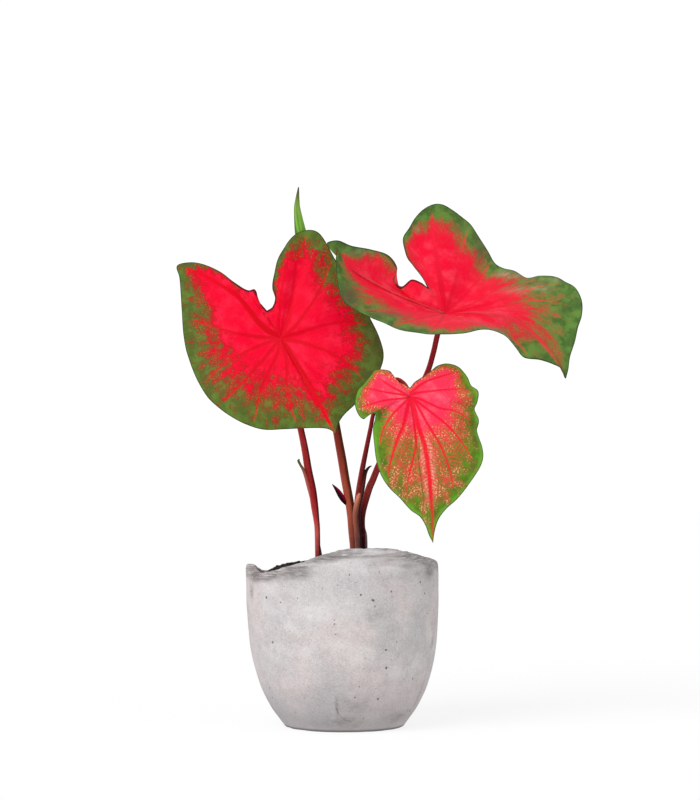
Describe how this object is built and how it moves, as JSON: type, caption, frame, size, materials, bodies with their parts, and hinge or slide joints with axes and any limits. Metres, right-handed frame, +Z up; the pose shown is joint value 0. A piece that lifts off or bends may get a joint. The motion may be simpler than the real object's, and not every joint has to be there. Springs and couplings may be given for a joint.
{
  "type": "potted caladium",
  "caption": "Caladium house plant with red and green arrow-shaped leaves on slender stalks, in a rough concrete pot with a torn wavy rim.",
  "frame": {"origin": "middle of the pot's flat base, on the surface that the pot stands on", "axes": "+Z up; -Y is the side that the picture shows, so +X is to its right"},
  "size_m": [0.2954, 0.1406, 0.3945],
  "materials": {
    "pot": "matt cast concrete with small pits",
    "soil": "dark crumbly potting soil",
    "leaf_left_blade": "satin leaf, red with a green margin",
    "leaf_left_petiole": "satin red stalk",
    "leaf_right_blade": "satin leaf, red with a green margin",
    "leaf_right_petiole": "satin red stalk",
    "leaf_small_blade": "satin leaf, pink with red veins and a green margin",
    "leaf_small_petiole": "satin red stalk",
    "spear": "satin young green leaf",
    "spear_petiole": "satin reddish brown stalk"
  },
  "bodies": {
    "root": {"pot": "pot", "soil": "soil", "leaf_left_blade": "leaf_left_blade", "leaf_left_petiole": "leaf_left_petiole", "leaf_right_blade": "leaf_right_blade", "leaf_right_petiole": "leaf_right_petiole", "leaf_small_blade": "leaf_small_blade", "leaf_small_petiole": "leaf_small_petiole", "spear": "spear", "spear_petiole": "spear_petiole"}
  },
  "joints": []
}
